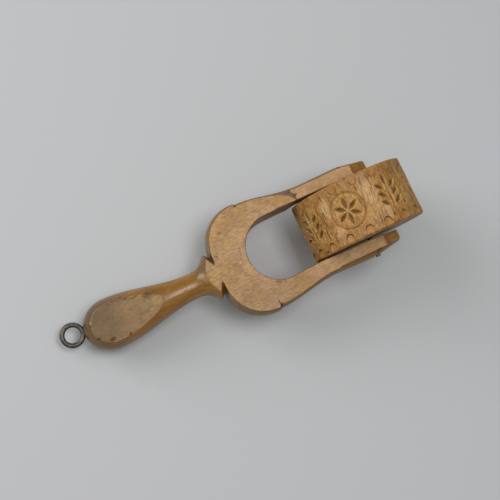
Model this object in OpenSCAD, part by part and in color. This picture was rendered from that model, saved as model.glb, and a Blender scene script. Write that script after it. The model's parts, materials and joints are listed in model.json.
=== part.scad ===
// Hand butter roller: a carved drum that turns on an iron pin in a forked wooden handle.
// Fork and handle are one piece of plank, turned on its long axis so that both sawn faces stay as flats.
// Everything is first drawn lying level: X runs from the handle's nose to the drum, Y across, Z up, and the
// turning axis is the X axis. rest_pose() then sets it down on its drum and on the handle's end.

/* [Plank] */
// Thickness of the plank that the fork and handle are turned from
plank_t = 21; // [18:0.1:24]

/* [Handle] */
// Diameter of the handle's bulb at its widest
bulb_d = 31.2; // [28:0.1:36]
// Distance from the nose to the bulb's widest place
bulb_len = 17.5; // [14:0.1:24]
// Diameter of the handle's waist
waist_d = 15.8; // [13:0.1:19]
// Distance from the bulb's widest place to the waist
taper_len = 53.5; // [40:0.5:65]
// Diameter of the collar's sharp edge
collar_d = 30.1; // [26:0.1:34]
// Distance from the waist to the collar's edge
flare_len = 11.7; // [10:0.1:18]

/* [Fork] */
// Diameter at the bottom of the groove between collar and bow
groove_d = 22.4; // [20:0.1:25]
// Distance from the collar's edge to the bottom of the groove
groove_len = 3.5; // [2.5:0.1:6]
// Diameter of the bow at its widest
bow_d = 71; // [66:0.1:76]
// Radius of the bow's round shoulder
shoulder_r = 24; // [20:0.1:25]
// Distance from the bottom of the groove to the scribed line on the bow
bow_len = 26.4; // [25:0.1:30]
// Diameter of the arms where they leave the bow
arm_root_d = 69.2; // [66:0.1:70]
// Diameter across the arms at their slimmest place
arm_waist_d = 59.4; // [57:0.1:62]
// Distance from the bow's line to the arms' slimmest place
arm_waist_len = 41; // [30:0.5:48]
// Diameter across the arms at the drum's pin
ear_d = 60.4; // [58:0.1:64]
// Distance from the bow's line to the drum's pin
arm_len = 69.9; // [64:0.1:80]
// Distance from the drum's pin to the arms' ends
ear_len = 15.8; // [12:0.1:20]
// Diameter across the arms at their ends
end_d = 55.2; // [53:0.1:58]
// Width of the chamfer round the arms' ends
end_chamfer = 1; // [0.5:0.1:2.5]
// Length of the slope cut on both faces at the arms' ends
slope_len = 11; // [6:0.1:14]
// Depth of that slope at the arms' ends
slope_drop = 4.2; // [2:0.1:6]
// Width of each scribed line
line_w = 1.1; // [0.6:0.1:1.6]
// Depth of each scribed line
line_depth = 0.8; // [0.3:0.1:1.2]
// Distance from the drum's pin back to the scribed line on the arms
ear_line_back = 1.6; // [0:0.1:4]

/* [Opening] */
// Width of the opening between the arms
opening_w = 41.2; // [38:0.1:44]
// Wood left between the bottom of the groove and the opening
crotch_wood = 19.9; // [14:0.1:24]
// Diameter of the hole bored at the bottom of the opening
crotch_d = 40.4; // [36:0.1:43]
// Length over which the straight arm's sawn side widens from that hole to the full opening
splay_len = 10; // [6:0.5:20]
// Gap between the drum and the arm that bends in towards it, where they are closest
near_gap = 0.7; // [0.5:0.1:1.5]
// Length over which that arm bends in, from the middle of the hole
bend_len = 15.5; // [10:0.5:18]
// Length over which it stays that close to the drum
near_len = 30; // [20:0.5:38]

/* [Drum] */
// Diameter of the drum
drum_d = 73; // [60:0.1:80]
// Gap between the drum and the full opening at each side
drum_side_gap = 2.1; // [1.8:0.1:4]
// Width of the worn chamfer round both ends of the drum
drum_edge = 0.7; // [0.3:0.1:1.5]

/* [Carving] */
// Turn of the drum on its pin, as it lies
drum_turn = -24.5; // [-45:0.5:45]
// Number of scallops gouged in from each rim
scallop_count = 18; // [8:1:24]
// Length of a scallop across the drum
scallop_len = 6; // [4:0.1:7]
// Width of a scallop
scallop_w = 5; // [3:0.1:6]
// Depth of a scallop at the rim
scallop_start = 0.25; // [0.1:0.05:0.4]
// Depth of a scallop at its inner end
scallop_depth = 1.1; // [0.5:0.05:1.3]
// Turn of the scallops on one rim from the first motif
far_scallop_turn = 15; // [0:1:20]
// Turn of the scallops on the other rim from the first motif
near_scallop_turn = 11; // [0:1:20]
// Number of motifs round the drum, rosettes and sprigs by turns
motif_count = 8; // [4:2:8]
// Number of petals in a rosette
petal_count = 6; // [5:1:8]
// Length of a petal
petal_len = 9.6; // [6:0.1:10]
// Width of a petal's cut
petal_w = 3.6; // [2:0.1:3.8]
// Distance from the petals' points to the ring round them
petal_gap = 0.6; // [0.3:0.1:1]
// Width of the ring's cut
rosette_line_w = 1.4; // [0.5:0.1:1.6]
// Depth of the ring's cut
rosette_line_depth = 0.75; // [0.3:0.05:1]
// Length of a sprig's stem
stem_len = 16; // [12:0.5:18]
// Width of the stem's cut
stem_w = 2.2; // [0.8:0.1:2.4]
// Number of pairs of leaves on a sprig
leaf_pairs = 3; // [2:1:3]
// Length of a leaf
leaf_len = 8; // [5:0.1:8.4]
// Width of a leaf's cut
leaf_w = 3.6; // [2:0.1:3.8]
// Distance between the pairs of leaves
leaf_pitch = 5.2; // [4.7:0.1:6]
// Distance of a leaf's middle from the stem
leaf_out = 4.8; // [4.6:0.1:5.6]
// Angle between a leaf and the stem
leaf_angle = 55; // [45:5:65]
// Distance from the drum's middle to the middle of the leaf at the sprig's top
leaf_top = 8.2; // [7:0.1:8.3]

/* [Pin] */
// Diameter of the iron pin that the drum turns on
pin_d = 3.2; // [2.5:0.1:5]
// Length of pin that stands out of one arm
pin_proud = 0.8; // [0.3:0.1:1.5]
// Depth that the pin's other end is driven below the wood
pin_sunk = 0.3; // [0:0.1:1]
// Width of the chamfer on the pin's ends
pin_chamfer = 0.3; // [0.1:0.05:0.5]
// Running clearance between the pin and the drum's bore, on the radius
pin_clear = 0.08; // [0.02:0.01:0.1]

/* [Screw eye] */
// Diameter of the eye's wire
eye_wire_d = 3; // [2.2:0.1:3.6]
// Outside diameter of the eye's ring
eye_ring_d = 15.2; // [13:0.1:20]
// Depth that the ring is pulled into the handle's nose
eye_sink = 0.9; // [0.2:0.1:1.2]
// Distance of the screw from the turning axis at the nose
eye_off = 1.5; // [0:0.1:3]
// Angle that the eye leans from the turning axis
eye_lean = 15; // [0:1:20]
// Angle of the slit where the ring's free end meets the shank
eye_slit_deg = 5; // [3:1:8]
// Length of the plain shank in the wood
shank_plain_len = 5; // [3:0.1:8]
// Length of the screw thread
thread_len = 11.2; // [8:0.1:16]
// Distance between thread crests
thread_pitch = 1.4; // [1:0.1:2]
// Depth of the thread
thread_depth = 0.4; // [0.2:0.05:0.5]
// Length of the screw's point
point_len = 2.5; // [1.5:0.1:4]
// Clearance round the ring where the nose is dented for it
seat_clear = 0.05; // [0.02:0.01:0.2]

/* [Hidden] */
$fn = 96;
overcut = 5; // how far a cutting solid runs past the wood

// Half sizes and radii
half_t = plank_t / 2;
bulb_r = bulb_d / 2;
waist_r = waist_d / 2;
collar_r = collar_d / 2;
groove_r = groove_d / 2;
bow_r = bow_d / 2;
ear_r = ear_d / 2;
end_r = end_d / 2;
drum_r = drum_d / 2;
drum_w = opening_w - 2 * drum_side_gap;
eye_wire_r = eye_wire_d / 2;
eye_mid_r = eye_ring_d / 2 - eye_wire_r;
rosette_line_r = petal_len + petal_gap + rosette_line_w / 2;

// Stations along the turning axis, counted from the nose
waist_x = bulb_len + taper_len;
collar_x = waist_x + flare_len;
groove_x = collar_x + groove_len;
bow_line_x = groove_x + bow_len;
arm_waist_x = bow_line_x + arm_waist_len;
pin_x = bow_line_x + arm_len;
ear_line_x = pin_x - ear_line_back;
fork_len = pin_x + ear_len;
crotch_x = groove_x + crotch_wood;
crotch_mid_x = crotch_x + crotch_d / 2;

// The bow's shoulder is an arc that starts at the bottom of the groove
shoulder_mid_r = bow_r - shoulder_r;
shoulder_x = groove_x + sqrt(pow(shoulder_r, 2) - pow(groove_r - shoulder_mid_r, 2));
shoulder_from = asin((groove_r - shoulder_mid_r) / shoulder_r);
shoulder_to = acos((shoulder_x - bow_line_x + line_w / 2) / shoulder_r);

// The fork lies on its drum and on the front corner of the handle's lower flat
flat_start_x = bulb_len * (1 - sqrt(1 - pow(half_t / bulb_r, 2)));
rest_len = pin_x - flat_start_x;
tilt = asin(drum_r / norm([rest_len, half_t])) - atan2(half_t, rest_len);
lift = half_t * cos(tilt) - flat_start_x * sin(tilt);

// The eye's ring touches the nose where the screw goes in
nose_x = bulb_len * (1 - sqrt(1 - pow(eye_off / bulb_r, 2)));
eye_reach = eye_ring_d / 2 - eye_sink;
eye_x = nose_x - eye_reach * cos(eye_lean);

// The ends of the whole object along X, which put its middle over the origin
front_x = (eye_x - eye_mid_r) * cos(tilt) - eye_wire_r;
back_x = pin_x * cos(tilt) + drum_r;
middle_x = (front_x + back_x) / 2;

// Radii between two stations: level at both ends, or curling up towards the second
flare_power = 2.5;
function ease(a, b, s) = a + (b - a) * (1 - cos(180 * s)) / 2;
function flare(a, b, s) = a + (b - a) * pow(s, flare_power);
function part_way(a, b, s) = a + (b - a) * s;
function shares(n) = [for (i = [1:n]) i / n];

// The turned outline as [radius, distance from the nose]
nose_curve = [for (s = shares(10)) [bulb_r * sin(90 * s), bulb_len * (1 - cos(90 * s))]];
taper_curve = [for (s = shares(14)) [ease(bulb_r, waist_r, s), part_way(bulb_len, waist_x, s)]];
flare_curve = [for (s = shares(10)) [flare(waist_r, collar_r, s), part_way(waist_x, collar_x, s)]];
shoulder_curve = [
    for (s = [0, each shares(14)])
        let (a = part_way(shoulder_from, shoulder_to, s))
            [shoulder_mid_r + shoulder_r * sin(a), shoulder_x - shoulder_r * cos(a)]
];
bow_line = [[arm_root_d / 2 - line_depth, bow_line_x], [arm_root_d / 2, bow_line_x + line_w / 2]];
cove_curve = [
    for (s = shares(10))
        [ease(arm_root_d, arm_waist_d, s) / 2, part_way(bow_line_x + line_w / 2, arm_waist_x, s)]
];
swell_curve = [
    for (s = shares(5)) [ease(arm_waist_d / 2, ear_r, s), part_way(arm_waist_x, ear_line_x - line_w / 2, s)]
];
ear_line = [[ear_r - line_depth, ear_line_x], [ear_r, ear_line_x + line_w / 2]];
arm_end = [[end_r, fork_len - end_chamfer], [end_r - end_chamfer, fork_len], [0, fork_len]];
turned_outline = concat(
    [[0, 0]], nose_curve, taper_curve, flare_curve, shoulder_curve,
    bow_line, cove_curve, swell_curve, ear_line, arm_end
);

module rest_pose() {
    translate([-middle_x, 0, lift]) rotate([0, -tilt, 0]) children();
}

// Turns an outline of [radius, distance] points round the X axis
module turned(outline) {
    rotate([0, 90, 0]) rotate([0, 0, 180]) rotate_extrude() polygon(outline);
}

// A rod across the whole fork, centred on Y
module across_rod(x, d, len) {
    translate([x, 0, 0]) rotate([90, 0, 0]) cylinder(d = d, h = len, center = true);
}

module sawn_plank() {
    length = fork_len + 2 * overcut;
    translate([-overcut, -bow_r - overcut, -half_t]) cube([length, bow_d + 2 * overcut, plank_t]);
}

// A bored hole, and a saw cut at each side of it that runs out through the arms' ends. One arm is straight,
// and the other bends in close to the drum.
module opening_cut() {
    depth = plank_t + 2 * overcut;
    splay_x = crotch_mid_x + splay_len;
    bend_x = crotch_mid_x + bend_len;
    near_y = drum_w / 2 + near_gap;
    cut_end = fork_len + overcut;
    translate([crotch_mid_x, 0, 0]) cylinder(d = crotch_d, h = depth, center = true);
    translate([0, 0, -depth / 2]) linear_extrude(depth) polygon([
        [crotch_mid_x, -crotch_d / 2], [bend_x, -near_y], [bend_x + near_len, -near_y],
        [fork_len, -opening_w / 2], [cut_end, -opening_w / 2],
        [cut_end, opening_w / 2], [splay_x, opening_w / 2], [crotch_mid_x, crotch_d / 2]
    ]);
}

// The sloping cuts on the upper and lower faces at the arms' ends
module end_slopes() {
    for (side = [0, 1])
        mirror([0, 0, side])
            translate([fork_len - slope_len, -bow_r, half_t])
                rotate([0, atan2(slope_drop, slope_len), 0])
                    cube([2 * slope_len, bow_d, plank_t]);
}

// Places what belongs to the eye: X points along its screw into the wood, and the ring's middle is at X 0
module eye_place() {
    translate([nose_x, eye_off, 0]) rotate([0, 0, -eye_lean]) translate([-eye_reach, 0, 0]) children();
}

// The hole that the screw is driven into: the plain shank's size, then the thread's core
module screw_hole() {
    core_end = eye_reach + shank_plain_len + thread_len + point_len;
    turned([
        [0, 0], [eye_wire_r, 0],
        [eye_wire_r, eye_reach + shank_plain_len],
        [eye_wire_r - thread_depth, eye_reach + shank_plain_len],
        [eye_wire_r - thread_depth, core_end], [0, core_end]
    ]);
}

module ring(clear, turn) {
    rotate_extrude(angle = turn) translate([eye_mid_r, 0]) circle(r = eye_wire_r + clear, $fn = 48);
}

module fork_handle() {
    color("burlywood") rest_pose() difference() {
        intersection() {
            turned(turned_outline);
            sawn_plank();
        }
        opening_cut();
        end_slopes();
        across_rod(pin_x, pin_d, bow_d + overcut);
        eye_place() {
            screw_hole();
            ring(seat_clear, 360);
        }
    }
}

// Puts a cut on the drum's face, round the drum and across it from a motif's middle, and turned there
module on_face(round_by, across, turn) {
    round_deg = round_by / drum_r * 180 / PI;
    rotate([0, round_deg, 0]) translate([0, across, drum_r]) rotate([0, 0, turn]) children();
}

// A leaf-shaped cut as a knife makes it: its two walls lean at 45 degrees and are parts of cylinders
module knife_cut(length, width) {
    half_w = width / 2;
    wall_r = (pow(length / 2, 2) + pow(half_w, 2) / 2) / (sqrt(2) * half_w);
    intersection_for (side = [0, 1])
        mirror([0, side, 0])
            translate([0, half_w, 0]) rotate([-45, 0, 0]) translate([0, -wall_r, 0])
                cylinder(r = wall_r, h = 4 * width, center = true);
}

// A round-ended cut that a gouge makes from the rim inwards, deeper towards its inner end
module rim_scallop() {
    straight_len = scallop_len - scallop_w / 2;
    translate([0, drum_w / 2, drum_r - scallop_start])
        rotate([atan2(scallop_depth - scallop_start, scallop_len), 0, 0]) {
            translate([-scallop_w / 2, -straight_len, 0]) cube([scallop_w, straight_len + overcut, overcut]);
            translate([0, -straight_len, 0]) cylinder(d = scallop_w, h = overcut);
        }
}

module rosette() {
    for (i = [0:petal_count - 1])
        let (turn = 90 + i * 360 / petal_count)
            on_face(petal_len / 2 * cos(turn), petal_len / 2 * sin(turn), turn) knife_cut(petal_len, petal_w);
    difference() {
        cylinder(r = rosette_line_r + rosette_line_w / 2, h = drum_r + overcut);
        cylinder(r = rosette_line_r - rosette_line_w / 2, h = drum_r + 2 * overcut);
        across_rod(0, drum_d - 2 * rosette_line_depth, drum_w);
    }
}

module sprig() {
    lowest = -leaf_pitch * (leaf_pairs - 1) / 2;
    on_face(0, -stem_len / 6, 90) knife_cut(stem_len, stem_w);
    on_face(0, leaf_top, 90) knife_cut(leaf_len, leaf_w);
    for (row = [0:leaf_pairs - 1], side = [-1, 1])
        on_face(side * leaf_out, lowest + row * leaf_pitch, 90 - side * leaf_angle)
            knife_cut(leaf_len, leaf_w);
}

module drum_carving() {
    for (i = [0:scallop_count - 1])
        rotate([0, i * 360 / scallop_count, 0]) {
            rotate([0, far_scallop_turn, 0]) rim_scallop();
            mirror([0, 1, 0]) rotate([0, near_scallop_turn, 0]) rim_scallop();
        }
    for (i = [0:motif_count - 1])
        rotate([0, i * 360 / motif_count, 0]) {
            if (i % 2 == 0) rosette();
            else sprig();
        }
}

module drum() {
    half_w = drum_w / 2;
    rim_r = drum_r - drum_edge;
    outline = [
        [0, -half_w], [rim_r, -half_w], [drum_r, drum_edge - half_w],
        [drum_r, half_w - drum_edge], [rim_r, half_w], [0, half_w]
    ];
    color("peru") rest_pose() translate([pin_x, 0, 0]) difference() {
        rotate([90, 0, 0]) rotate_extrude() polygon(outline);
        across_rod(0, pin_d + 2 * pin_clear, drum_w + overcut);
        rotate([0, drum_turn, 0]) drum_carving();
    }
}

module drum_pin() {
    near_end = ear_r + pin_proud;
    far_end = ear_r - pin_sunk;
    tip_r = pin_d / 2 - pin_chamfer;
    outline = [
        [0, -far_end], [tip_r, -far_end], [pin_d / 2, pin_chamfer - far_end],
        [pin_d / 2, near_end - pin_chamfer], [tip_r, near_end], [0, near_end]
    ];
    color("dimgray") rest_pose() translate([pin_x, 0, 0])
        rotate([90, 0, 0]) rotate_extrude() polygon(outline);
}

// The thread is drawn as separate ridges, one for each pitch
module screw_shank() {
    crests = floor(thread_len / thread_pitch);
    core_r = eye_wire_r - thread_depth;
    plain_end = eye_reach + shank_plain_len;
    ridges = [
        for (i = [0:crests - 1])
            let (x = plain_end + i * thread_pitch)
                each [
                    [core_r, x + thread_pitch / 4],
                    [eye_wire_r, x + thread_pitch / 2],
                    [core_r, x + 3 * thread_pitch / 4]
                ]
    ];
    turned(concat(
        [[0, eye_mid_r], [eye_wire_r, eye_mid_r], [eye_wire_r, plain_end], [core_r, plain_end]],
        ridges,
        [[core_r, plain_end + thread_len], [0, plain_end + thread_len + point_len]]
    ));
}

module screw_eye() {
    color("dimgray") rest_pose() eye_place() {
        ring(0, 360 - eye_slit_deg);
        screw_shank();
    }
}

fork_handle();
drum();
drum_pin();
screw_eye();
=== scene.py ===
import json
import math

import bmesh
import bpy
import numpy as np
from mathutils import Matrix, Vector


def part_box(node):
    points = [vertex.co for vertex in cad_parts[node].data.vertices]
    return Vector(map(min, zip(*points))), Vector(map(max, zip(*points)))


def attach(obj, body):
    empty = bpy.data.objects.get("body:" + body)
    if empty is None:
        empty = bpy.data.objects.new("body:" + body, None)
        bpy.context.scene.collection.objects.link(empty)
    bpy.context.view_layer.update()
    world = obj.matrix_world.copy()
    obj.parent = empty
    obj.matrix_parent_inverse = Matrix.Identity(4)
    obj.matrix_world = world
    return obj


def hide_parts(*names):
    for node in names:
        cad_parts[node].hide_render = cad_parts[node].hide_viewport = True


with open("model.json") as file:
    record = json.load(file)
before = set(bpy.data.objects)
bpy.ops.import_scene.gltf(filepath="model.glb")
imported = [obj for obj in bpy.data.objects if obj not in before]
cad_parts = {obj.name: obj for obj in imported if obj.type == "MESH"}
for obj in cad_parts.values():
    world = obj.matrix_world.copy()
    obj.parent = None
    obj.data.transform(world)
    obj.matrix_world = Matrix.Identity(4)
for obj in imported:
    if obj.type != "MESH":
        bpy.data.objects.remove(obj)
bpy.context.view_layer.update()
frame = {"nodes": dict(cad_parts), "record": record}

# Sizes of the wood, in millimetres along the handle from its nose, across it and up from its middle
MM = 0.001
HALF_THICK = 10.5
WAIST_X = 71.0
COLLAR_X = 82.7
GROOVE_X = 86.2
BOW_LINE_X = 112.6
EAR_LINE_X = 180.9
PIN_X = 182.5
SLOPE_X = 187.3
BORE_R = 1.68

# Where the handle lies in the shared frame: the resting flat gives its tilt, the pin its place
flat_axis = next(m for m in frame["record"]["mounts"] if m["name"] == "handle_flat")["axis"]
tilt = math.atan2(flat_axis[0], -flat_axis[2])
pin_low, pin_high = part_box("drum_pin")
pin_centre = np.array([(pin_low.x + pin_high.x) / 2, 0.0, (pin_low.z + pin_high.z) / 2])
drum_low, drum_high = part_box("drum")
DRUM_R = (drum_high.z - drum_low.z) / 2 / MM
DRUM_HALF_W = (drum_high.y - drum_low.y) / 2 / MM
LEVEL = np.array([
    [math.cos(tilt), 0.0, math.sin(tilt)],
    [0.0, 1.0, 0.0],
    [-math.sin(tilt), 0.0, math.cos(tilt)],
])


def to_level(points):
    """Points of the shared frame, in metres, as millimetres in the handle's own level frame."""
    level = (points - pin_centre) @ LEVEL.T / MM
    level[:, 0] += PIN_X
    return level


def from_level(level):
    """The inverse of to_level."""
    shifted = level.copy()
    shifted[:, 0] -= PIN_X
    return shifted * MM @ LEVEL + pin_centre


# Numbers: how many layers of noise are added, each about half as wide and half as strong as the last
OCTAVES = 2


def smooth(low, high, value):
    """0 up to low, 1 past high and an even curve between them; high may be the lesser of the two."""
    t = np.clip((value - low) / (high - low), 0.0, 1.0)
    return t * t * (3 - 2 * t)


def band(value, start, full, last, end):
    """0 before start, 1 from full to last and 0 after end."""
    return smooth(start, full, value) * smooth(end, last, value)


def hashed(cells, seed):
    """A repeatable number from 0 to 1 for each whole-number cell."""
    n = cells[:, 0] * 374761393 + cells[:, 1] * 668265263 + cells[:, 2] * 2147483647 + seed * 974711
    n = (n ^ (n >> 13)) * 1274126177
    n = n ^ (n >> 16)
    return (n & 0xFFFFFF) / float(0xFFFFFF)


def grain_noise(points, size, seed):
    """Smooth noise from -1 to 1; size is the width of a spot along each axis."""
    total = np.zeros(len(points))
    weight = 1.0
    summed = 0.0
    scaled = points / np.array(size)
    for octave in range(OCTAVES):
        cell = np.floor(scaled).astype(np.int64)
        part = scaled - cell
        part = part * part * (3 - 2 * part)
        value = np.zeros(len(points))
        for corner in range(8):
            step = np.array([corner & 1, corner >> 1 & 1, corner >> 2 & 1])
            share = np.prod(np.where(step, part, 1 - part), axis=1)
            value += share * hashed(cell + step, seed + octave * 17)
        total += weight * (value * 2 - 1)
        summed += weight
        weight *= 0.5
        scaled = scaled * 2.03 + 11.7
    return total / summed


def segment_distance(x, y, start, end):
    """Distance of points from a straight line between two ends."""
    dx, dy = end[0] - start[0], end[1] - start[1]
    along = np.clip(((x - start[0]) * dx + (y - start[1]) * dy) / (dx * dx + dy * dy), 0.0, 1.0)
    return np.hypot(x - start[0] - along * dx, y - start[1] - along * dy)


def spot_distance(x, y, middle_x, middle_y, half_x, half_y):
    """Distance of points from the middle of a round or oval spot, as 1 at its rim."""
    return np.hypot((x - middle_x) / half_x, (y - middle_y) / half_y)


# Meshes
def new_object(name, mesh):
    obj = bpy.data.objects.new(name, mesh)
    bpy.context.scene.collection.objects.link(obj)
    return obj


def remeshed(node, name, voxel):
    """A copy of a CAD node's mesh with an even net of small faces."""
    work = new_object(name + "_work", frame["nodes"][node].data.copy())
    net = bmesh.new()
    net.from_mesh(work.data)
    bmesh.ops.remove_doubles(net, verts=net.verts, dist=1e-6)
    net.to_mesh(work.data)
    net.free()
    modifier = work.modifiers.new("net", "REMESH")
    modifier.mode = "VOXEL"
    modifier.voxel_size = voxel * MM
    graph = bpy.context.evaluated_depsgraph_get()
    mesh = bpy.data.meshes.new_from_object(work.evaluated_get(graph))
    bpy.data.objects.remove(work)
    mesh.name = name
    mesh.materials.clear()
    return new_object(name, mesh)


def read_rows(items, name, width, kind=np.float32):
    """A row of numbers for each vertex or edge."""
    flat = np.zeros(len(items) * width, kind)
    items.foreach_get(name, flat)
    return flat.reshape(-1, width)


def read_points(mesh):
    return read_rows(mesh.vertices, "co", 3).astype(float)


def read_normals(mesh):
    return read_rows(mesh.vertices, "normal", 3).astype(float)


def read_edges(mesh):
    return read_rows(mesh.edges, "vertices", 2, np.int32)


def write_points(mesh, points):
    mesh.vertices.foreach_set("co", points.astype(np.float32).ravel())
    shade_smooth(mesh)


def shade_smooth(mesh):
    mesh.polygons.foreach_set("use_smooth", np.ones(len(mesh.polygons), bool))
    mesh.update()


def relaxed(points, edges, rounds):
    """Points drawn half way to the middle of their neighbours in each round, which rounds edges."""
    count = np.bincount(edges.ravel(), minlength=len(points)).clip(1)
    for _ in range(rounds):
        moved = np.empty_like(points)
        for axis in range(points.shape[1]):
            values = points[:, axis]
            total = np.bincount(edges[:, 0], values[edges[:, 1]], len(points))
            total += np.bincount(edges[:, 1], values[edges[:, 0]], len(points))
            moved[:, axis] = total / count
        points = points + 0.5 * (moved - points)
    return points


def set_masks(mesh, grain, masks):
    """Puts the wood's own coordinates and its masks, from 0 to 1, on a mesh for its material."""
    layer = mesh.attributes.new("grain", "FLOAT_VECTOR", "POINT")
    layer.data.foreach_set("vector", grain.astype(np.float32).ravel())
    for name, values in masks.items():
        layer = mesh.attributes.new(name, "FLOAT", "POINT")
        layer.data.foreach_set("value", np.clip(values, 0.0, 1.0).astype(np.float32))


# Material graphs
def linear(red, green, blue):
    """A colour given as it looks, 0 to 255, in the scene's own linear numbers."""
    out = []
    for value in (red, green, blue):
        share = value / 255
        out.append(share / 12.92 if share <= 0.04045 else ((share + 0.055) / 1.055) ** 2.4)
    return (*out, 1.0)


class Graph:
    """A short way to write a material's nodes."""

    def __init__(self, name):
        self.material = bpy.data.materials.new(name)
        self.material.use_nodes = True
        self.tree = self.material.node_tree
        self.tree.nodes.clear()

    def add(self, kind, **settings):
        node = self.tree.nodes.new(kind)
        for key, value in settings.items():
            setattr(node, key, value)
        return node

    def put(self, socket, value):
        if isinstance(value, bpy.types.NodeSocket):
            self.tree.links.new(value, socket)
        elif value is not None:
            socket.default_value = value

    def mask(self, name):
        return self.add("ShaderNodeAttribute", attribute_name=name).outputs["Fac"]

    def grain(self, stretch=(1, 1, 1), shift=(0, 0, 0)):
        """The wood's own coordinates in millimetres, divided by a spot's size along each axis."""
        source = self.add("ShaderNodeAttribute", attribute_name="grain").outputs["Vector"]
        node = self.add("ShaderNodeMapping")
        self.put(node.inputs["Vector"], source)
        node.inputs["Scale"].default_value = [1 / s for s in stretch]
        node.inputs["Location"].default_value = shift
        return node.outputs["Vector"]

    def skin(self):
        """The object's coordinates in millimetres."""
        node = self.add("ShaderNodeMapping")
        self.put(node.inputs["Vector"], self.add("ShaderNodeTexCoord").outputs["Object"])
        node.inputs["Scale"].default_value = (1 / MM, 1 / MM, 1 / MM)
        return node.outputs["Vector"]

    def parts(self, vector):
        """A vector's three numbers."""
        node = self.add("ShaderNodeSeparateXYZ")
        self.put(node.inputs[0], vector)
        return node.outputs["X"], node.outputs["Y"], node.outputs["Z"]

    def noise(self, vector, detail, rough, twist=0.0, scale=1.0):
        node = self.add("ShaderNodeTexNoise")
        self.put(node.inputs["Vector"], vector)
        node.inputs["Scale"].default_value = scale
        node.inputs["Detail"].default_value = detail
        node.inputs["Roughness"].default_value = rough
        node.inputs["Distortion"].default_value = twist
        return node.outputs["Fac"]

    def span(self, value, low, high, start=0.0, end=1.0):
        """A value's stretch from low to high, as start to end and held there."""
        node = self.add("ShaderNodeMapRange", interpolation_type="SMOOTHSTEP")
        self.put(node.inputs["Value"], value)
        node.inputs["From Min"].default_value = low
        node.inputs["From Max"].default_value = high
        node.inputs["To Min"].default_value = start
        node.inputs["To Max"].default_value = end
        return node.outputs["Result"]

    def calc(self, operation, first, second=None):
        node = self.add("ShaderNodeMath", operation=operation)
        self.put(node.inputs[0], first)
        self.put(node.inputs[1], second)
        return node.outputs["Value"]

    def times(self, first, second):
        return self.calc("MULTIPLY", first, second)

    def blend(self, share, first, second):
        """A number between two others."""
        node = self.add("ShaderNodeMix", data_type="FLOAT")
        self.put(node.inputs[0], share)
        self.put(node.inputs[2], first)
        self.put(node.inputs[3], second)
        return node.outputs[0]

    def mix(self, share, first, second):
        """A colour between two others."""
        node = self.add("ShaderNodeMix", data_type="RGBA", blend_type="MIX")
        self.put(node.inputs[0], share)
        self.put(node.inputs[6], first)
        self.put(node.inputs[7], second)
        return node.outputs[2]

    def between(self, value, low, high, first, second):
        """A colour that goes from the first shade to the second as a value goes from low to high."""
        return self.mix(self.span(value, low, high), linear(*first), linear(*second))

    def tint(self, share, colour, shade):
        """A colour drawn towards a shade by a share."""
        return self.mix(share, colour, linear(*shade))

    def tints(self, colour, layers):
        """A colour drawn towards each layer's shade, up to a share as a value goes from low to high."""
        for value, low, high, share, shade in layers:
            colour = self.tint(self.span(value, low, high, 0.0, share), colour, shade)
        return colour

    def masked(self, colour, layers):
        """A colour drawn towards each layer's shade by a share of one of the mesh's masks."""
        for name, share, shade in layers:
            colour = self.tint(self.times(self.mask(name), share), colour, shade)
        return colour

    def bump(self, height, distance, strength):
        node = self.add("ShaderNodeBump")
        self.put(node.inputs["Height"], height)
        node.inputs["Distance"].default_value = distance * MM
        node.inputs["Strength"].default_value = strength
        return node.outputs["Normal"]

    def finish(self, colour, roughness, normal=None, shine=None, metallic=None):
        shader = self.add("ShaderNodeBsdfPrincipled")
        self.put(shader.inputs["Base Color"], colour)
        self.put(shader.inputs["Roughness"], roughness)
        self.put(shader.inputs["Normal"], normal)
        self.put(shader.inputs["Specular IOR Level"], shine)
        self.put(shader.inputs["Metallic"], metallic)
        output = self.add("ShaderNodeOutputMaterial")
        self.tree.links.new(shader.outputs["BSDF"], output.inputs["Surface"])
        return self.material


# Fork and handle: stretches along it where a form begins, is whole, begins to end and ends
ARM_WEAR = (143, 156, 190, 196)
BOW_WEAR = (92, 98, 108, 112)
LEANING_CUT = (92, 100, 143, 150)
WIDER_CUT = (150, 164, 172, 182)
SPLINTER_DIRT = (120, 127, 145, 148)
# The palm's rim in this stretch carries a painted highlight
LIT_PALM_RIM = (9, 16, 54, 62)
PALM_SPECKS = (14, 22, 43, 47)

# Worn outer edges: how steep they are, where each starts and how wide it is
WEAR_FALL = 0.8
ARM_WEAR_Y = 26.7
ARM_WEAR_W = 2.5
BOW_WEAR_R = 34.8
BOW_WEAR_W = 1.0
FAR_ABOVE = 99

# The saw cuts: how far the one on the +Y side leans in, and how much the one on the -Y side is worn
CUT_LEAN = 1.0
CUT_WIDER = 0.5

# Outlines on the top face on the +Y side: the splinter's long side and the palm's border, as x and y
SPLINTER_SIDE = ((129.6, 31.0), (133.0, 29.9), (139.7, 27.9), (144.4, 25.1), (148.3, 21.3))
PALM_BORDER = ((13, 11.1), (19, 11.5), (28, 10.7), (37, 8.6), (43, 6.5), (46, 4.5))
# The splinter's ragged end across the arm, as y and x
SPLINTER_END = (
    (21.0, 148.2), (23.2, 148.5), (24.0, 149.9), (25.2, 147.6), (26.7, 146.9), (29.5, 146.8),
)

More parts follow.
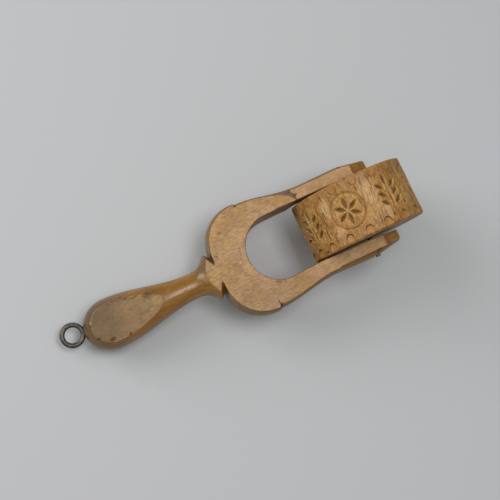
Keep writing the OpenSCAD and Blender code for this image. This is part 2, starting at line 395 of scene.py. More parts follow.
# Short checks and cuts in the top face: start, end, width, depth
TOP_CUTS = (
    ((110.4, -36.2), (112.2, -33.6), 1.3, 0.9),
    ((112.2, -33.6), (111.9, -30.0), 0.8, 0.6),
    ((112.3, -33.4), (113.8, -32.4), 0.7, 0.4),
    ((112.0, 34.6), (112.0, 32.4), 1.2, 0.7),
    ((181.4, -31.0), (182.4, -27.2), 1.2, 0.9),
    ((148.6, 23.6), (148.2, 20.0), 0.8, 0.7),
    ((103.9, 8.2), (103.3, 6.4), 0.7, 0.2),
    ((103.0, 5.2), (102.7, 3.9), 0.6, 0.2),
    ((102.4, 2.6), (102.2, 1.2), 0.6, 0.2),
    ((101.9, -0.2), (101.7, -1.2), 0.6, 0.2),
    ((41.8, 6.3), (46.0, 3.9), 0.5, 0.2),
    ((40.6, 5.9), (44.6, 3.2), 0.5, 0.2),
    ((39.0, 6.2), (42.6, 3.0), 0.5, 0.2),
    ((115.8, -19.3), (118.4, -19.9), 1.0, 0.45),
    ((119.6, -19.2), (120.9, -20.5), 0.8, 0.45),
    ((88.0, 9.9), (89.6, 9.3), 0.7, 0.4),
    ((89.6, 9.3), (89.2, 8.1), 0.6, 0.35),
)
# How far a cut's walls reach to each side, as a share of its width
CUT_REACH = 0.8

# Nicks and knocks in the top face: place, half size along and across, depth, darkness
TOP_NICKS = (
    (6.6, -6.2, 1.5, 0.8, 0.7, 0.8),
    (13.8, -9.8, 2.1, 1.7, 0.6, 0.85),
    (24.6, -10.9, 0.9, 1.1, 0.8, 0.85),
    (96.1, 21.6, 2.2, 1.4, 0.08, 0.3),
    (27.5, 11.0, 1.4, 0.9, 0.25, 0.55),
    (34.2, 7.6, 1.0, 0.9, 0.25, 0.5),
    (31.0, 9.6, 2.2, 0.6, 0.2, 0.45),
    (42.0, 5.4, 3.8, 2.4, 0.05, 0.7),
    (64.0, -1.5, 1.2, 1.2, 0.10, 0.3),
    (5.0, 2.4, 1.3, 1.0, 0.15, 0.4),
)

# Places on the top face: middle and half size along and across
BARE_SCRATCH = (5.8, 4.3, 0.7, 1.6)
RUBBED_FLARE = (77.6, 0.8, 1.5, 3.6)
SCUFFED_PALM = (42.6, 4.6, 4.5, 3.0)

# The crack down the bow's side: where it meets the top face and how it leans
CRACK_X = 112.4
CRACK_LEAN = 0.14

# Widths of the small faces in the finer meshes of the fork and of the eye
FORK_NET = 0.38
EYE_NET = 0.16


def worn_fork(level, edges, normal):
    """The fork's points with edges and saw cuts worn, where its edges are and where it stays sharp."""
    x, y, _ = level.T
    soft = relaxed(level, edges, 12)
    edge = smooth(0.03, 0.22, np.sum((level - soft) * normal, axis=1))
    collar_middle = (COLLAR_X + GROOVE_X) / 2 + 1
    sharp = smooth(3.4, 1.2, np.abs(x - collar_middle)) * smooth(6.5, 8.5, np.abs(y))
    wear = edge * (0.4 + 0.4 * grain_noise(level, (9, 9, 9), 3)) * (1 - 0.8 * sharp)
    rounded = relaxed(level, edges, 2)
    level = rounded + (soft - rounded) * np.clip(wear[:, None], 0, 1) * 0.6

    # The upper outer edge of the arm on the -Y side is worn to a slope, and the bow's a little
    x, y, z = level.T
    arm_slope = HALF_THICK - WEAR_FALL * np.clip(-y - ARM_WEAR_Y, 0.0, ARM_WEAR_W)
    bow_slope = HALF_THICK - WEAR_FALL * np.clip(np.hypot(y, z) - BOW_WEAR_R, 0.0, BOW_WEAR_W)
    worn_z = z
    for slope, stretch in ((arm_slope, ARM_WEAR), (bow_slope, BOW_WEAR)):
        share = band(x, *stretch) * (y < 0)
        worn_z = np.minimum(worn_z, slope * share + FAR_ABOVE * (1 - share))
    level = np.column_stack([x, y, worn_z])

    # The saw cut on the +Y side leans in towards the lower face
    x, y, z = level.T
    leaning = band(x, *LEANING_CUT) * smooth(0.3, 0.8, -normal[:, 1]) * (y > 0)
    level[:, 1] -= CUT_LEAN * leaning * np.clip((HALF_THICK - z) / (2 * HALF_THICK), 0.0, 1.0)
    # The one on the -Y side is worn wider next to the drum
    x, y, _ = level.T
    level[:, 1] -= CUT_WIDER * band(x, *WIDER_CUT) * smooth(-25.0, -21.5, y) * (y < 0)
    return level, edge, sharp


def fork_regions(level, normal):
    """Where the sawn flats, the slopes at the arms' ends and the turned handle are."""
    x, _, z = level.T
    upright = np.abs(normal[:, 2])
    flat = smooth(0.93, 0.99, upright) * smooth(HALF_THICK - 0.35, HALF_THICK - 0.1, np.abs(z))
    slope = smooth(SLOPE_X - 0.5, SLOPE_X + 0.2, x)
    slope *= smooth(0.2, 0.3, normal[:, 0]) * smooth(0.7, 0.85, upright)
    turned = smooth(BOW_LINE_X - 22, COLLAR_X + 3, x) * (1 - flat)
    return flat, slope, turned


def splinter(level):
    """Where wood has broken off the top of the arm on the +Y side: its share, depth and ragged rim."""
    x, y, z = level.T
    ragged = 0.35 * grain_noise(level, (1.1, 1.1, 4.0), 37)
    side_y = np.interp(x, *zip(*SPLINTER_SIDE)) + ragged
    end_x = np.interp(y, *zip(*SPLINTER_END)) + ragged
    within = np.minimum(y - side_y, end_x - x)
    share = smooth(-0.05, 0.35, within) * smooth(2.0, 7.0, z) * (x > SPLINTER_SIDE[0][0])
    depth = share * (0.5 + 0.35 * np.clip(y - side_y, 0.0, 3.0))
    rim = smooth(0.55, 0.1, np.abs(end_x - x)) * (y > side_y - 0.2) * smooth(8.0, 9.5, z)
    return share, depth, rim * (x > 140)


def top_damage(level, top):
    """Depth and darkness of the cuts and nicks in the top face, and of the crack down the bow's side."""
    x, y, z = level.T
    sink = np.zeros(len(level))
    dark = np.zeros(len(level))
    for start, end, width, depth in TOP_CUTS:
        distance = segment_distance(x, y, start, end)
        cut = np.clip(1 - distance / (CUT_REACH * width), 0.0, 1.0) * top * smooth(7.0, 10.0, z)
        sink += depth * cut
        dark = np.maximum(dark, 0.9 * smooth(0.1, 0.8, cut) * min(1.0, 0.35 + depth))

    crack = smooth(1.0, 0.4, np.abs(x - CRACK_X - CRACK_LEAN * (HALF_THICK - z)))
    crack *= smooth(-31.0, -32.5, y) * smooth(-6.0, -1.0, z)
    sink += 0.1 * crack
    dark = np.maximum(dark, crack)

    ragged = 0.35 * grain_noise(level, (0.9, 0.9, 0.9), 31)
    for middle_x, middle_y, half_x, half_y, depth, darkness in TOP_NICKS:
        away = spot_distance(x, y, middle_x, middle_y, half_x, half_y) + ragged
        dent = smooth(1.15, 0.35, away) * top * smooth(4.0, 8.5, z)
        sink += depth * dent
        dark = np.maximum(dark, darkness * dent)
    return sink, dark


def fork_dirt_and_shade(level, normal, top, flat, edge, stain):
    """Where old dirt is dark on the wood and shade is painted dark in the groove behind the collar, and
    where light wood shows through its finish and a highlight is painted along the palm's rim.
    """
    x, y, z = level.T
    side = 1 - flat
    palm = flat * top

    # Scribed rings round the bow and the ends of the arms, and the groove behind the collar, whose dark
    # is painted shade
    ring_gap = np.minimum(np.abs(x - BOW_LINE_X), np.abs(x - EAR_LINE_X))
    rings = smooth(0.9, 0.35, ring_gap) * side * (np.abs(y) > 24)
    groove = smooth(3.6, 0.5, np.abs(x - GROOVE_X - 0.3)) * side * smooth(17.0, 13.5, np.hypot(y, z))
    # Patches just below the flat's edge on the bow and the arms
    below = smooth(HALF_THICK - 1.9, HALF_THICK - 0.7, np.abs(z)) * side * (x > GROOVE_X + 4)
    below *= (1 - stain) * smooth(-0.35, 0.35, grain_noise(level, (7, 7, 7), 23))
    # The arm's outer edge where the splinter came off
    broken_rim = band(x, *SPLINTER_DIRT) * smooth(0.15, 0.5, normal[:, 1]) * smooth(6.0, 9.0, z)
    # Pricks, scratched lines and the border's reddish specks in the palm's flat
    pricks = smooth(0.62, 0.8, grain_noise(level, (1.3, 1.0, 1.3), 43)) * smooth(66, 50, x)
    scuffed = smooth(1.2, 0.3, spot_distance(x, y, *SCUFFED_PALM))
    scuffed *= smooth(0.2, 0.5, grain_noise(level, (3.0, 0.45, 1.0), 47))
    specks = smooth(2.4, 0.8, np.interp(x, *zip(*PALM_BORDER)) - y) * band(x, *PALM_SPECKS)
    specks *= smooth(-0.1, 0.35, grain_noise(level, (1.8, 1.0, 1.0), 49))
    dark = np.maximum.reduce([
        0.75 * rings,
        0.85 * groove,
        0.3 * below,
        0.65 * broken_rim,
        0.45 * pricks * palm,
        0.75 * scuffed * palm,
        0.7 * specks * palm,
    ])

    scratch = smooth(1.0, 0.3, spot_distance(x, y, *BARE_SCRATCH)) * top
    # The palm's rim on the -Y side is painted lighter: a painted highlight
    lit_palm_rim = smooth(0.2, 0.6, edge) * band(x, *LIT_PALM_RIM) * (y < 0) * top
    rubbed = smooth(1.25, 0.5, spot_distance(x, y, *RUBBED_FLARE)) * top * side
    light = np.maximum.reduce([0.55 * scratch, 0.75 * lit_palm_rim, 0.3 * rubbed])
    return dark, light


def fork_mesh():
    """The turned and sawn piece, with worn edges, knife cuts, dents and a missing splinter."""
    obj = remeshed("fork_handle", "wooden_fork_handle", FORK_NET)
    mesh = obj.data
    normal = read_normals(mesh) @ LEVEL.T
    level, edge, sharp = worn_fork(to_level(read_points(mesh)), read_edges(mesh), normal)
    flat, slope, turned = fork_regions(level, normal)
    top = level[:, 2] > 0

    # Slow unevenness of hand work, fine relief along the grain, then chips along the edges and dents
    sink = 0.08 * grain_noise(level, (26, 14, 14), 5)
    sink += 0.03 * grain_noise(level, (7, 1.1, 1.1), 7) * (0.4 + 0.6 * flat)
    sink += 0.02 * grain_noise(level, (1.0, 1.0, 1.0), 9) * flat
    chips = smooth(0.42, 0.75, grain_noise(level, (3.2, 2.2, 2.2), 11)) * edge
    sink += 0.4 * chips * (1 - sharp)
    sink += 0.12 * smooth(0.55, 0.85, grain_noise(level, (2.6, 2.0, 2.0), 13))
    stain, splinter_depth, splinter_rim = splinter(level)
    damage, damage_dark = top_damage(level, top)
    sink += splinter_depth + damage
    # dirt_and_shade: old dirt, and painted shade in the groove behind the collar
    dirt_and_shade, light = fork_dirt_and_shade(level, normal, top, flat, edge, stain)
    near = (level[:, 1] < 0).astype(float)

    level = level - normal * sink[:, None]
    write_points(mesh, from_level(level))
    set_masks(mesh, level, {
        "flat": flat * (1 - stain),
        "slope": slope,
        "turned": turned,
        "edge": edge * smooth(-0.3, 0.7, grain_noise(level, (5, 3, 3), 19)),
        "dark": np.maximum.reduce([dirt_and_shade, damage_dark, 0.35 * splinter_rim]),
        "stain": stain,
        "near": near,
        # light: bare wood, and the palm rim's painted highlight
        "light": light,
    })
    return obj


def fork_wood():
    """Pale matt flats, darker waxed sides, and the dirt and bare wood that the masks mark, with painted
    light: shade in the groove, a highlight on the palm's rim, shade and a grey sheen on the +Y side of
    the bulb and flare, and flats lighter towards the drum.
    """
    g = Graph("worn_beech")
    flat = g.mask("flat")
    turned = g.mask("turned")
    along, across, _ = g.parts(g.grain())
    bulb = g.span(along, WAIST_X - 10, WAIST_X + 6, 1.0, 0.0)
    nose = g.span(along, 6, 46, 1.0, 0.0)

    cloud = g.noise(g.grain((13, 10, 10)), 4, 0.6)
    blush = g.noise(g.grain((20, 15, 15), (7, 2, 4)), 3, 0.6)
    streak = g.noise(g.grain((22, 1.7, 1.7), (3, 1, 2)), 4, 0.6, 0.4)
    mottle = g.noise(g.grain((4.5, 2.6, 3.0), (9, 2, 6)), 3, 0.55)
    fleck = g.noise(g.grain((3.4, 0.75, 0.8), (5, 5, 1)), 2, 0.5)
    cross_fleck = g.noise(g.grain((0.8, 2.0, 0.9), (1, 7, 3)), 2, 0.5)
    speck = g.noise(g.grain((0.7, 0.7, 0.7)), 2, 0.6)

    # Sawn flats: pale and matt
    bow = g.between(cloud, 0.36, 0.64, (151, 115, 73), (178, 140, 92))
    bow = g.tints(bow, (
        (blush, 0.47, 0.6, 0.65, (180, 143, 109)),
        (blush, 0.46, 0.34, 0.6, (170, 126, 71)),
    ))
    rosy = g.times(g.span(across, -4, -24, 0.0, 0.45), g.span(along, 118, 134, 1.0, 0.0))
    bow = g.tint(rosy, bow, (146, 119, 92))
    sunny = g.times(g.span(across, 8, 20, 0.0, 0.2), g.span(along, 108, 128, 1.0, 0.0))
    bow = g.tint(sunny, bow, (196, 156, 106))
    bow = g.tints(bow, (
        (mottle, 0.54, 0.68, 0.45, (136, 108, 76)),
        (fleck, 0.52, 0.66, 0.6, (130, 98, 61)),
        (fleck, 0.46, 0.32, 0.5, (200, 160, 111)),
        (cross_fleck, 0.54, 0.7, 0.45, (136, 106, 72)),
        (speck, 0.58, 0.76, 0.4, (204, 170, 125)),
        # lighter towards the drum: painted light that offsets the drum's shade on the arms
        (along, 142, 162, 0.15, (220, 184, 142)),
    ))
    palm = g.between(cloud, 0.38, 0.62, (134, 108, 72), (162, 129, 86))
    palm = g.tints(palm, ((blush, 0.45, 0.6, 0.5, (152, 118, 84)),))
    palm = g.tint(g.times(nose, 0.7), palm, (96, 79, 58))
    palm = g.tints(palm, (
        (mottle, 0.54, 0.68, 0.5, (104, 84, 58)),
        (fleck, 0.52, 0.68, 0.5, (104, 80, 50)),
        (speck, 0.57, 0.76, 0.4, (172, 140, 96)),
        (speck, 0.42, 0.26, 0.4, (92, 70, 44)),
    ))
    faces = g.mix(bulb, bow, palm)

    # Turned and sawn sides: darker, handled and waxed
    waxed = g.between(streak, 0.25, 0.75, (122, 84, 33), (156, 108, 42))
    waxed = g.tints(waxed, (
        (cloud, 0.4, 0.7, 0.5, (108, 78, 36)),
        (blush, 0.5, 0.68, 0.4, (152, 98, 40)),
    ))
    waxed = g.tint(g.times(g.span(along, 0, 34, 1.0, 0.0), 0.7), waxed, (90, 68, 40))
    # Darker, greyer colour on the +Y side: painted shade that dims the flare's highlight, and on the
    # bulb a painted grey sheen
    far_side = g.span(across, -8, 6)
    painted_shade_flare = g.times(far_side, g.span(along, 68, 78, 0.0, 0.5))
    painted_sheen_bulb = g.times(far_side, g.span(along, 12, 44, 0.55, 0.0))
    waxed = g.tint(g.calc("ADD", painted_shade_flare, painted_sheen_bulb), waxed, (84, 68, 46))
    sides = g.between(streak, 0.3, 0.7, (110, 76, 34), (140, 99, 46))
    sides = g.mix(turned, sides, waxed)
    colour = g.mix(flat, sides, faces)

    # The slopes at the arms' ends, then rubbed edges, the splinter's bed, dirt with painted shade in the
    # groove, and bare wood with a painted highlight on the palm's rim
    far_slope = g.between(streak, 0.3, 0.7, (118, 80, 34), (152, 107, 48))
    near_slope = g.between(streak, 0.3, 0.7, (126, 91, 43), (158, 113, 58))
    slopes = g.mix(g.span(g.mask("near"), 0.4, 0.6), far_slope, near_slope)
    colour = g.mix(g.mask("slope"), colour, slopes)
    rubbed = g.tint(0.55, colour, (190, 148, 98))
    colour = g.mix(g.times(g.mask("edge"), 0.18), colour, rubbed)
    colour = g.masked(colour, (
        ("stain", 0.9, (118, 97, 88)),
        ("dark", 0.85, (56, 36, 20)),
        ("light", 0.8, (196, 162, 114)),
    ))

    matt = g.blend(flat, g.blend(turned, 0.4, 0.24), 0.62)
    matt = g.blend(g.mask("stain"), matt, 0.8)
    roughness = g.calc("ADD", matt, g.span(speck, 0.3, 0.7, -0.04, 0.06))
    relief = g.calc("ADD", g.times(fleck, 0.5), g.times(speck, 0.5))
    relief = g.times(relief, g.blend(turned, 1.0, 0.4))
    return g.finish(colour, roughness, g.bump(relief, 0.08, 0.6), g.blend(turned, 0.3, 0.5))


# Drum: its cuts are those of the solid, at the same places
SCALLOPS = 18
SCALLOP_LEN = 6.0
SCALLOP_W = 5.0
SCALLOP_START = 0.25
SCALLOP_DEPTH = 1.1
FAR_SCALLOP_TURN = 15.0
NEAR_SCALLOP_TURN = 11.0
MOTIFS = 8
MOTIF_PITCH = 360 / MOTIFS
FIRST_MOTIF = -24.5 - math.degrees(tilt)
PETALS = 6
PETAL_LEN = 9.6
PETAL_W = 3.6
LINE_R = 10.9
LINE_W = 1.4
LINE_DEPTH = 0.75
STEM_LEN = 16.0
STEM_W = 2.2
LEAF_PAIRS = 3
LEAF_LEN = 8.0
LEAF_W = 3.6
LEAF_PITCH = 5.2
LEAF_OUT = 4.8
LEAF_ANGLE = 55.0
LEAF_TOP = 8.2
FAR_RIM_WEAR = 0.45
NEAR_RIM_WEAR = 1.0
# Half of the room round the drum in which a motif's depth is worked out
MOTIF_REACH = 13.5

# Counts of points round the drum, across its face, and from the bore to the rim of each end
DRUM_COLUMNS = 900
FACE_ROWS = 150
END_ROWS = 40
# How far the last points of an end stay from its worn rim
END_INSET = 0.3

# Drying checks along the grain: angle round the drum, middle, half length, width, depth
CHECKS = (
    (-88.5, 1.8, 5.5, 0.8, 0.6),
    (-99.0, 3.0, 4.5, 0.7, 0.6),
    (-96.0, -12.0, 4.0, 0.7, 0.6),
    (-90.5, 9.0, 3.5, 0.6, 0.5),
    (-61.5, -7.5, 4.5, 0.8, 0.6),
    (-58.5, 1.0, 5.5, 0.7, 0.55),
    (-62.5, 8.5, 3.5, 0.6, 0.5),
    (-55.0, -12.5, 3.0, 0.6, 0.5),
    (-105.0, -3.0, 5.0, 0.7, 0.5),
    (-10.5, 12.0, 3.5, 0.5, 0.4),
    (-8.0, -13.5, 3.0, 0.5, 0.4),
)
# How many checks there are in all, and how far in degrees the others stay from a motif's middle
CHECK_COUNT = 60
MOTIF_MARGIN = 14

# Strips along the grain where the finish is worn off: angle, middle, half length and half width
WORN_STRIPS = (
    (-52.0, 9.5, 8.5, 2.2),
    (-47.5, -11.0, 5.5, 2.6),
    (-9.0, 8.0, 10.0, 2.8),
    (2.5, -9.5, 5.0, 2.0),
    (-77.5, 15.5, 3.5, 1.0),
    (34.0, 12.0, 5.0, 1.2),
    (58.0, -3.0, 7.0, 2.2),
    (103.0, 4.0, 9.0, 2.6),
    (147.0, -7.0, 8.0, 2.4),
    (-168.0, 5.0, 9.0, 2.2),
    (-124.0, -4.0, 8.0, 2.5),
)

# Knocks that show dark: angle, place across the drum, half size round and across, depth
KNOCKS = (
    (-93.0, -5.3, 3.0, 0.8, 0.9),
    (-64.5, -0.5, 0.7, 0.9, 0.5),
    (-83.7, 10.6, 0.8, 0.8, 0.7),
    (-72.0, -16.4, 1.6, 0.5, 0.8),
    (25.6, -8.0, 0.9, 1.1, 0.8),
    (43.5, 6.2, 1.0, 0.7, 0.7),
    (49.8, 15.5, 0.6, 1.4, 0.7),
    (6.8, -12.7, 0.7, 0.9, 0.5),
)


def on_circle(radius, angle, y):
    """Points round the drum's axis, in millimetres from its middle."""
    return np.column_stack([radius * np.sin(np.radians(angle)), y, radius * np.cos(np.radians(angle))])


def around(angle, centre):
    """Arc length from a place round the drum, to the nearer side."""
    gap = (angle - centre + 180) % 360 - 180
    return np.radians(gap) * DRUM_R


def knife_cut(u, v, at_u, at_v, turn, length, width):
    """Depth below the drum's face of a leaf-shaped cut with two walls at 45 degrees."""
    half_w = width / 2
    wall_r = ((length / 2) ** 2 + half_w ** 2 / 2) / (math.sqrt(2) * half_w)
    a = math.radians(turn)
    along = (u - at_u) * math.cos(a) + (v - at_v) * math.sin(a)
    across = (v - at_v) * math.cos(a) - (u - at_u) * math.sin(a)
    bow = np.sqrt(np.clip(wall_r ** 2 - along ** 2, 0.0, None)) - wall_r
    reach = math.sqrt(2) * bow + half_w
    return np.clip(reach - np.abs(across) - (u - at_u) ** 2 / (2 * DRUM_R), 0.0, None)


def rosette(u, v):
    """Depth of a petalled flower in a ring, at a place on the drum counted from its middle."""
    from_ring = np.abs(np.hypot(u, v) - LINE_R)
    depth = LINE_DEPTH * smooth(LINE_W / 2 + 0.1, LINE_W / 2 - 0.45, from_ring)
    for k in range(PETALS):
        turn = 90 + 360 / PETALS * k
        at_u = PETAL_LEN / 2 * math.cos(math.radians(turn))
        at_v = PETAL_LEN / 2 * math.sin(math.radians(turn))
        depth = np.maximum(depth, knife_cut(u, v, at_u, at_v, turn, PETAL_LEN, PETAL_W))
    return depth


def sprig(u, v):
    """Depth of a stem with pairs of leaves and one at its top."""
    depth = knife_cut(u, v, 0.0, -STEM_LEN / 6, 90.0, STEM_LEN, STEM_W)
    depth = np.maximum(depth, knife_cut(u, v, 0.0, LEAF_TOP, 90.0, LEAF_LEN, LEAF_W))
    lowest = -LEAF_PITCH * (LEAF_PAIRS - 1) / 2
    for row in range(LEAF_PAIRS):
        at_v = lowest + row * LEAF_PITCH
        for side in (-1, 1):
            leaf = knife_cut(u, v, side * LEAF_OUT, at_v, 90 - side * LEAF_ANGLE, LEAF_LEN, LEAF_W)
            depth = np.maximum(depth, leaf)
    return depth


def motifs(angle, y):
    """Depth of the rosettes and sprigs, by turns round the drum."""
    depth = np.zeros(len(angle))
    for k in range(MOTIFS):
        u = around(angle, FIRST_MOTIF + MOTIF_PITCH * k)
        near = np.abs(u) < MOTIF_REACH
        form = rosette if k % 2 == 0 else sprig
        depth[near] = np.maximum(depth[near], form(u[near], y[near]))
    return depth


def scallops(angle, y, ragged, rng):
    """Depth of the gouged scallops at both rims, and masks of their beds and of their steep walls, where
    shade is painted.
    """
    cut = np.zeros(len(angle))
    bed = np.zeros(len(angle))
    shaded_walls = np.zeros(len(angle))
    straight = SCALLOP_LEN - SCALLOP_W / 2
    for side, first in ((1, FAR_SCALLOP_TURN), (-1, NEAR_SCALLOP_TURN)):
        t = DRUM_HALF_W - side * y
        for k in range(SCALLOPS):
            u = around(angle, FIRST_MOTIF + first + 360 / SCALLOPS * k + rng.uniform(-0.8, 0.8))
            inside = SCALLOP_W / 2 - np.hypot(u, np.clip(t - straight, 0.0, None)) + ragged
            depth = SCALLOP_START + (SCALLOP_DEPTH - SCALLOP_START) * t / SCALLOP_LEN
            hollow = 1.15 - 0.4 * np.clip(np.abs(u) / SCALLOP_W * 2, 0.0, 1.0) ** 2
            depth = (depth * hollow - u ** 2 / (2 * DRUM_R)) * smooth(-0.05, 0.4, inside)
            shaded_wall = smooth(0.5, 0.1, np.abs(inside - 0.15)) * smooth(0.3, 0.75, t / SCALLOP_LEN)
            cut = np.maximum(cut, depth)
            bed = np.maximum(bed, smooth(0.15, 0.7, inside))
            shaded_walls = np.maximum(shaded_walls, shaded_wall)
    return cut, bed, shaded_walls


def drying_checks(angle, y, rng):
    """Depth of the listed checks and of others at random places between the motifs."""
    places = list(CHECKS)
    while len(places) < CHECK_COUNT:
        centre = rng.uniform(-180, 180)
        middle = rng.uniform(-15, 15)
        off_motif = (centre - FIRST_MOTIF + MOTIF_PITCH / 2) % MOTIF_PITCH - MOTIF_PITCH / 2
        if abs(off_motif) > MOTIF_MARGIN:
            width = rng.uniform(0.35, 0.7)
            places.append((centre, middle, rng.uniform(1.5, 5.0), width, rng.uniform(0.2, 0.5)))
    checks = np.zeros(len(angle))
    for k, (centre, middle, half_len, width, depth) in enumerate(places):
        u = around(angle, centre)
        near = np.abs(u) < 3
        wander = 0.3 * np.sin(y[near] * 0.7 + k)
        taper = np.clip(1 - np.abs(y[near] - middle) / half_len, 0.0, 1.0) ** 0.5
        crack = np.clip(1 - np.abs(u[near] - wander) / (width * taper + 1e-6), 0.0, 1.0) * (taper > 0)
        checks[near] = np.maximum(checks[near], depth * crack)
    return checks


def drum_relief(angle, y):
    """How far the worked face lies below the plain drum, and masks of what was cut or broken there."""
    rng = np.random.default_rng(41)
    ring = on_circle(DRUM_R, angle, y)
    sink = 0.15 + 0.12 * grain_noise(ring, (10, 26, 10), 51)
    sink += 0.10 * np.abs(grain_noise(ring, (1.0, 12, 1.0), 53))
    sink += 0.10 * grain_noise(ring, (1.5, 3.4, 1.5), 55)
    sink += 0.09 * grain_noise(ring, (0.7, 1.8, 0.7), 58)
    ragged = 0.12 * grain_noise(ring, (0.9, 1.6, 0.9), 57)

    cut, bed, shaded_walls = scallops(angle, y, ragged, rng)
    motif = motifs(angle, y)
    lip = smooth(0.02, 0.12, motif) * smooth(0.5, 0.25, motif)
    # Dark lines: painted shade on the scallops' walls, and dirt in the bottoms of the motifs' cuts
    line = np.maximum(shaded_walls, smooth(0.35, 1.25, motif + 1.5 * ragged * (motif > 0)))
    sink += np.maximum(cut, motif) * (1 + 1.5 * ragged)

    checks = drying_checks(angle, y, rng)
    for centre, middle, half_u, half_y, depth in KNOCKS:
        away = spot_distance(around(angle, centre), y, 0.0, middle, half_u, half_y) + 2.0 * ragged
        checks = np.maximum(checks, depth * smooth(1.3, 0.4, away))
    pale = np.zeros(len(angle))
    split = 0.5 * grain_noise(ring, (0.6, 7, 0.6), 65)
    for centre, middle, half_len, half_w in WORN_STRIPS:
        away = spot_distance(around(angle, centre), y, 0.0, middle, half_w, half_len) + split
        pale = np.maximum(pale, smooth(1.15, 0.85, away))

    # The rims are worn and chipped, the one on the -Y side more
    edge = DRUM_HALF_W - np.abs(y)
    worn = np.where(y < 0, NEAR_RIM_WEAR, FAR_RIM_WEAR)
    sink += worn * np.clip(1 - edge / worn, 0.0, 1.0) ** np.where(y < 0, 1.2, 2.0)
    chipped = smooth(0.2, 0.65, grain_noise(ring, (2.4, 5, 2.4), 59)) * smooth(1.8, 0.1, edge)
    sink += 0.75 * chipped + checks
    return sink, {
        "line": line,
        "scoop": bed,
        "lip": lip,
        "check": smooth(0.08, 0.35, checks),
        "chip": chipped,
        "pale": pale * (1 - bed),
    }


def end_radii(rim_wear):
    """Radii of the rows on one of the drum's ends, closer together towards the rim."""
    return BORE_R + (DRUM_R - rim_wear - END_INSET - BORE_R) * np.linspace(0, 1, END_ROWS) ** 0.6


def drum_mesh():
    """The drum as one closed net: an end, the carved face, the other end and the bore."""
    rows = [(radius, -DRUM_HALF_W, "end") for radius in end_radii(NEAR_RIM_WEAR)]
    rows += [(DRUM_R, step * DRUM_HALF_W, "face") for step in np.linspace(-1, 1, FACE_ROWS)]
    rows += [(radius, DRUM_HALF_W, "end") for radius in end_radii(FAR_RIM_WEAR)[::-1]]
    rows += [(BORE_R, step * DRUM_HALF_W, "bore") for step in (0.5, -0.5)]
    radius, side, kind = (np.repeat(column, DRUM_COLUMNS) for column in zip(*rows))
    turn = np.tile(np.linspace(-180, 180, DRUM_COLUMNS, endpoint=False), len(rows))
    face = kind == "face"
    end = kind == "end"

    sink = np.zeros(len(radius))
    sink[face], face_masks = drum_relief(turn[face], side[face])
    wave = on_circle(radius, turn, side)
    inward = 0.10 + 0.08 * grain_noise(wave, (7, 7, 1.6), 61)
    inward += 0.05 * grain_noise(wave, (1.5, 1.5, 1.5), 63)
    depth = np.where(end, inward * smooth(BORE_R, BORE_R + 2, radius), 0.0)
    points = on_circle(radius - sink, turn, side - np.sign(side) * depth)

    row = np.arange(len(rows))[:, None] * DRUM_COLUMNS
    next_row = (np.arange(len(rows))[:, None] + 1) % len(rows) * DRUM_COLUMNS
    column = np.arange(DRUM_COLUMNS)[None, :]
    next_column = (column + 1) % DRUM_COLUMNS
    corners = (row + column, row + next_column, next_row + next_column, next_row + column)
    quads = np.stack(corners, axis=2).reshape(-1, 4)
    mesh = bpy.data.meshes.new("carved_drum")
    mesh.from_pydata((points * MM + pin_centre).tolist(), [], quads.tolist())
    mesh.validate()
    shade_smooth(mesh)

    masks = {"end": end.astype(float)}
    for name, values in face_masks.items():
        masks[name] = np.zeros(len(radius))
        masks[name][face] = values
    set_masks(mesh, points, masks)
    return new_object("carved_drum", mesh)


def drum_wood():
    """Golden wood with dark lines along the grain, worn pale in strips and dark in its cuts, with shade
    painted on the scallops' walls.
    """
    g = Graph("carved_fruitwood")
    streak = g.noise(g.grain((1.6, 14, 1.6)), 4, 0.6, 0.5)
    fine = g.noise(g.grain((0.5, 5, 0.5), (4, 0, 9)), 3, 0.6)
    fibre = g.noise(g.grain((0.8, 2.4, 0.8), (8, 1, 2)), 3, 0.6, 0.3)
    cloud = g.noise(g.grain((7, 13, 7), (2, 8, 1)), 4, 0.62)
    tone = g.noise(g.grain((10, 9, 10), (6, 3, 5)), 3, 0.6)
    speck = g.noise(g.grain((0.6, 0.9, 0.6)), 2, 0.6)
    thread = g.noise(g.grain((0.45, 8, 0.45), (1, 6, 3)), 2, 0.5, 0.3)
    _, across, _ = g.parts(g.grain())
    outward = g.calc("ABSOLUTE", across)

    colour = g.between(streak, 0.34, 0.66, (128, 88, 32), (188, 139, 63))
    colour = g.tints(colour, (
        (tone, 0.44, 0.62, 0.6, (164, 108, 36)),
        (cloud, 0.5, 0.6, 0.5, (188, 148, 90)),
    ))
    colour = g.masked(colour, (("pale", 0.7, (196, 158, 112)),))
    colour = g.tints(colour, (
        (outward, 8, 15, 0.65, (144, 98, 38)),
        (fine, 0.52, 0.7, 0.6, (92, 58, 18)),
        (thread, 0.58, 0.66, 0.6, (88, 54, 18)),
        (fibre, 0.53, 0.68, 0.6, (98, 66, 26)),
        (fibre, 0.47, 0.33, 0.5, (214, 172, 96)),
        (speck, 0.57, 0.76, 0.4, (218, 178, 100)),
        (speck, 0.43, 0.26, 0.4, (86, 56, 22)),
    ))
    end_tone = g.between(cloud, 0.3, 0.7, (124, 90, 52), (158, 122, 76))
    colour = g.mix(g.mask("end"), colour, end_tone)
    colour = g.masked(colour, (
        ("scoop", 0.6, (170, 116, 47)),
        ("lip", 0.45, (204, 158, 92)),
        # line: dirt in the motifs' cuts, and painted shade on the scallops' walls
        ("line", 0.75, (84, 52, 18)),
        ("check", 0.85, (60, 38, 16)),
        ("chip", 0.45, (92, 60, 26)),
    ))
    relief = g.calc("ADD", g.times(fine, 0.5), g.times(fibre, 0.5))
    return g.finish(colour, g.span(streak, 0.3, 0.7, 0.46, 0.6), g.bump(relief, 0.2, 0.8))


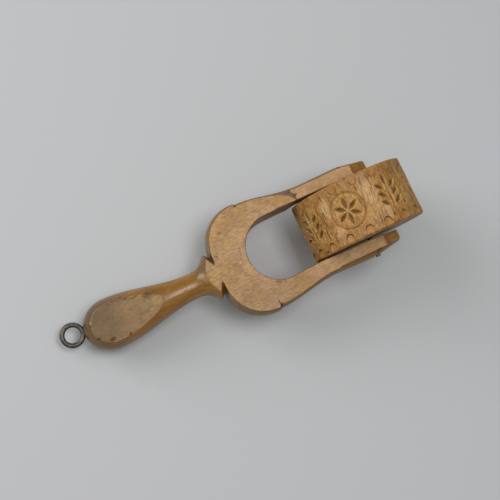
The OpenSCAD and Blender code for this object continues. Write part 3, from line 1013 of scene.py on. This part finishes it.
# Iron
def dark_iron():
    g = Graph("dark_iron")
    skin = g.skin()
    fine = g.noise(skin, 4, 0.65)
    wide = g.noise(skin, 2.0, 0.5, scale=0.22)
    colour = g.between(fine, 0.35, 0.7, (66, 62, 60), (110, 105, 101))
    colour = g.tints(colour, ((wide, 0.45, 0.62, 0.45, (112, 96, 76)),))
    return g.finish(colour, g.span(fine, 0.3, 0.7, 0.34, 0.55), g.bump(fine, 0.05, 0.5), metallic=0.85)


def pin_iron():
    g = Graph("worn_pin_iron")
    fine = g.noise(g.skin(), 4, 0.65)
    colour = g.between(fine, 0.35, 0.65, (98, 82, 66), (142, 122, 100))
    return g.finish(colour, g.span(fine, 0.3, 0.7, 0.4, 0.6), g.bump(fine, 0.06, 0.6), metallic=0.5)


def eye_mesh():
    """The wire ring and its screw, with the uneven skin of old iron."""
    obj = remeshed("screw_eye", "iron_screw_eye", EYE_NET)
    mesh = obj.data
    points = relaxed(read_points(mesh) / MM, read_edges(mesh), 3)
    sink = 0.05 * grain_noise(points, (1.6, 1.6, 1.6), 71)
    sink += 0.02 * grain_noise(points, (0.5, 0.5, 0.5), 73)
    write_points(mesh, (points - read_normals(mesh) * sink[:, None]) * MM)
    return obj


# Floor, lights and camera
FLOOR_HALF = 2.5
FLOOR_SHADE = (190, 192, 193)
ROOM_LIGHT = 0.26

# Softboxes: name, direction from the object, distance, size and strength
LAMPS = (
    ("overhead", (0.12, 0.0, 1.0), 1.2, (0.6, 0.42), 5.4),
    ("window", (-0.612, 0.612, 0.5), 1.5, (1.0, 1.0), 13.2),
    ("ceiling", (-0.342, 0.0, 0.94), 1.5, (1.0, 1.0), 2.4),
)

# The photograph's view: where it stands, its angles in degrees and its focal length in pixels
VIEW_PLACE = (-0.18958, -0.04292, 0.60043)
VIEW_AZIMUTH = -166.195
VIEW_ELEVATION = 70.474
VIEW_ROLL = 51.614
VIEW_FOCAL = 1003.0
IMAGE_SIZE = 500
SENSOR_WIDTH = 36.0


def floor():
    mesh = bpy.data.meshes.new("table_top")
    corners = [(x * FLOOR_HALF, y * FLOOR_HALF, 0) for x, y in ((-1, -1), (1, -1), (1, 1), (-1, 1))]
    mesh.from_pydata(corners, [], [(0, 1, 2, 3)])
    obj = new_object("table_top", mesh)
    mesh.materials.append(Graph("pale_paper").finish(linear(*FLOOR_SHADE), 0.9, shine=0.1))


def soft_lamp(name, direction, distance, size, strength):
    """A softbox that faces the object from a direction."""
    lamp = bpy.data.lights.new(name, "AREA")
    lamp.shape = "RECTANGLE"
    lamp.size, lamp.size_y = size
    lamp.energy = strength
    obj = new_object(name, lamp)
    away = Vector(direction).normalized()
    obj.location = away * distance
    obj.rotation_mode = "QUATERNION"
    obj.rotation_quaternion = away.to_track_quat("Z", "Y")


def room_light(strength):
    world = bpy.data.worlds.new("room")
    world.use_nodes = True
    back = world.node_tree.nodes["Background"]
    back.inputs["Color"].default_value = (1.0, 1.0, 1.0, 1.0)
    back.inputs["Strength"].default_value = strength
    bpy.context.scene.world = world


def camera():
    azimuth = math.radians(VIEW_AZIMUTH)
    elevation = math.radians(VIEW_ELEVATION)
    roll = math.radians(VIEW_ROLL)
    back = Vector((
        math.cos(azimuth) * math.cos(elevation),
        math.sin(azimuth) * math.cos(elevation),
        math.sin(elevation),
    ))
    level_right = Vector((0, 0, 1)).cross(back).normalized()
    level_up = back.cross(level_right)
    right = level_right * math.cos(roll) + level_up * math.sin(roll)
    up = back.cross(right)
    data = bpy.data.cameras.new("camera")
    data.sensor_width = SENSOR_WIDTH
    data.lens = SENSOR_WIDTH * VIEW_FOCAL / IMAGE_SIZE
    data.clip_start = 0.01
    obj = new_object("camera", data)
    turn = Matrix((right, up, back)).transposed().to_4x4()
    obj.matrix_world = Matrix.Translation(Vector(VIEW_PLACE)) @ turn
    bpy.context.scene.camera = obj


camera()
floor()
room_light(ROOM_LIGHT)
for lamp_row in LAMPS:
    soft_lamp(*lamp_row)

fork = fork_mesh()
fork.data.materials.append(fork_wood())
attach(fork, "frame")
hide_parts("fork_handle")

drum = drum_mesh()
drum.data.materials.append(drum_wood())
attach(drum, "drum")
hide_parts("drum")

eye = eye_mesh()
eye.data.materials.append(dark_iron())
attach(eye, "frame")
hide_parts("screw_eye")

pin = frame["nodes"]["drum_pin"]
pin_material = pin_iron()
for index in range(len(pin.data.materials)):
    pin.data.materials[index] = pin_material

bpy.context.scene.view_settings.view_transform = "Standard"
